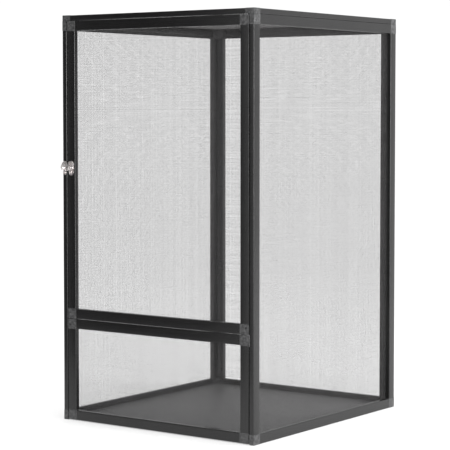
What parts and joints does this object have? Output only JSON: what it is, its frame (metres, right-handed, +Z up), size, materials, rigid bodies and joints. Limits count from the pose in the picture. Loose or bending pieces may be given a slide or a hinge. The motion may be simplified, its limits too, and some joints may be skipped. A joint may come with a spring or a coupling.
{
  "type": "reptile screen terrarium",
  "caption": "Tall framed mesh cage for reptiles: side-hung upper door with a swing latch, drop-down lower door, solid floor.",
  "frame": {"origin": "middle of the floor board's underside, in the plane that the cage stands on", "axes": "+Z up, the doors face -Y, +X to the right of someone facing the doors' plane from -Y"},
  "size_m": [0.4327, 0.4846, 0.75],
  "materials": {
    "black_frame": "satin black powder coat",
    "moulded_corner": "matt moulded",
    "wire_mesh": "mill finish fine woven wire",
    "spline_cord": "ribbed cord",
    "board": "matt foamed board",
    "pin_steel": "plain",
    "black_screw": "black oxide",
    "plate_steel": "zinc plated",
    "magnet_case": "matt",
    "latch_nickel": "bright nickel plate"
  },
  "bodies": {
    "cage": {"left_panel_front_stile": "black_frame", "left_panel_rear_stile": "black_frame", "left_panel_top_rail": "black_frame", "left_panel_bottom_rail": "black_frame", "left_panel_corner_blocks": "moulded_corner", "left_panel_mesh": "wire_mesh", "left_panel_spline": "spline_cord", "right_panel_front_stile": "black_frame", "right_panel_rear_stile": "black_frame", "right_panel_top_rail": "black_frame", "right_panel_bottom_rail": "black_frame", "right_panel_corner_blocks": "moulded_corner", "right_panel_mesh": "wire_mesh", "right_panel_spline": "spline_cord", "back_panel_left_stile": "black_frame", "back_panel_right_stile": "black_frame", "back_panel_top_rail": "black_frame", "back_panel_bottom_rail": "black_frame", "back_panel_corner_blocks": "moulded_corner", "back_panel_mesh": "wire_mesh", "back_panel_spline": "spline_cord", "top_panel_front_rail": "black_frame", "top_panel_rear_rail": "black_frame", "top_panel_left_rail": "black_frame", "top_panel_right_rail": "black_frame", "top_panel_corner_blocks": "moulded_corner", "top_panel_mesh": "wire_mesh", "top_panel_spline": "spline_cord", "floor_board": "board", "panel_dowels": "pin_steel", "floor_dowels": "pin_steel", "top_screws": "black_screw", "pivot_bracket": "plate_steel", "bracket_rivets": "pin_steel", "lower_door_pivot_pins": "pin_steel", "catch_magnet": "magnet_case", "keeper_plate": "latch_nickel", "keeper_screws": "latch_nickel"},
    "upper_door": {"upper_door_left_stile": "black_frame", "upper_door_right_stile": "black_frame", "upper_door_top_rail": "black_frame", "upper_door_bottom_rail": "black_frame", "upper_door_corner_blocks": "moulded_corner", "upper_door_mesh": "wire_mesh", "upper_door_spline": "spline_cord", "upper_door_pivot_pins": "pin_steel", "pin_retaining_screw": "black_screw", "latch_base_plate": "latch_nickel", "latch_rivet": "latch_nickel", "latch_screws": "latch_nickel"},
    "lower_door": {"lower_door_left_stile": "black_frame", "lower_door_right_stile": "black_frame", "lower_door_top_rail": "black_frame", "lower_door_bottom_rail": "black_frame", "lower_door_corner_blocks": "moulded_corner", "lower_door_mesh": "wire_mesh", "lower_door_spline": "spline_cord", "catch_strike": "plate_steel", "strike_screw": "black_screw"},
    "latch_hook": {"latch_hook": "latch_nickel"}
  },
  "joints": [
    {"name": "upper_door_hinge", "type": "hinge", "parent": "cage", "child": "upper_door", "pos_m": [0.199, -0.2341, 0.465], "axis": [0, 0, 1], "range_deg": [0, 115]},
    {"name": "lower_door_flap", "type": "hinge", "parent": "cage", "child": "lower_door", "pos_m": [0, -0.2341, 0.0067], "axis": [1, 0, 0], "range_deg": [0, 90]},
    {"name": "latch_pivot", "type": "hinge", "parent": "upper_door", "child": "latch_hook", "pos_m": [-0.195, -0.2423, 0.469], "axis": [0, 1, 0], "range_deg": [0, 100]}
  ]
}
